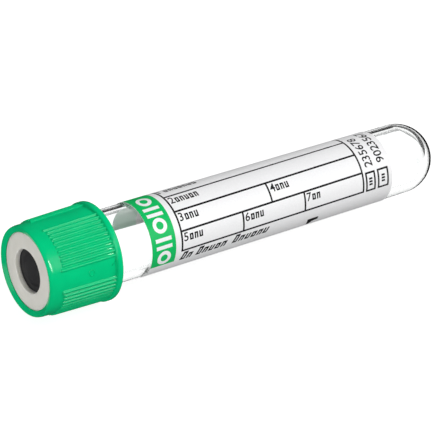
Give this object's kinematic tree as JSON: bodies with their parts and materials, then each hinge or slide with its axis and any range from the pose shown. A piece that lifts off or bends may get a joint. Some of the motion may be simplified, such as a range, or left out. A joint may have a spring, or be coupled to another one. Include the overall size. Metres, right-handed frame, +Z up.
{
  "type": "blood collection tube",
  "caption": "Clear evacuated blood collection tube with round end, wrapped paper label and green ridged screw cap that draws a rubber stopper out of its mouth.",
  "frame": {"origin": "on the surface the tube lies on, under the middle of its bounding box", "axes": "+X along the tube from the cap towards the round end, +Z up; the tube's own axis dips 2.1 degrees towards the round end, because it lies on the cap's flange and on the round end"},
  "size_m": [0.0826, 0.0168, 0.0169],
  "materials": {
    "clear_plastic": "clear, polished",
    "label_paper": "coated white paper with a green band and black form lines",
    "black_rubber": "matt",
    "green_plastic": "satin moulded polyethylene",
    "grey_plastic": "matt warm grey"
  },
  "bodies": {
    "tube": {"tube": "clear_plastic", "label": "label_paper"},
    "stopper": {"stopper": "black_rubber"},
    "cap": {"screw_cap": "green_plastic", "cap_ring": "grey_plastic"}
  },
  "joints": [
    {"name": "cap_lift", "type": "slide", "parent": "tube", "child": "stopper", "axis": [-0.9993, 0, 0.037], "range_m": [0, 0.012]},
    {"name": "cap_turn", "type": "hinge", "parent": "stopper", "child": "cap", "pos_m": [-0.04106, 0, 0.00892], "axis": [-0.9993, 0, 0.037], "range_deg": [0, 360]}
  ],
  "couplings": [
    {"joint": "cap_turn", "follows": "cap_lift", "rad_per_m": 523.6}
  ]
}
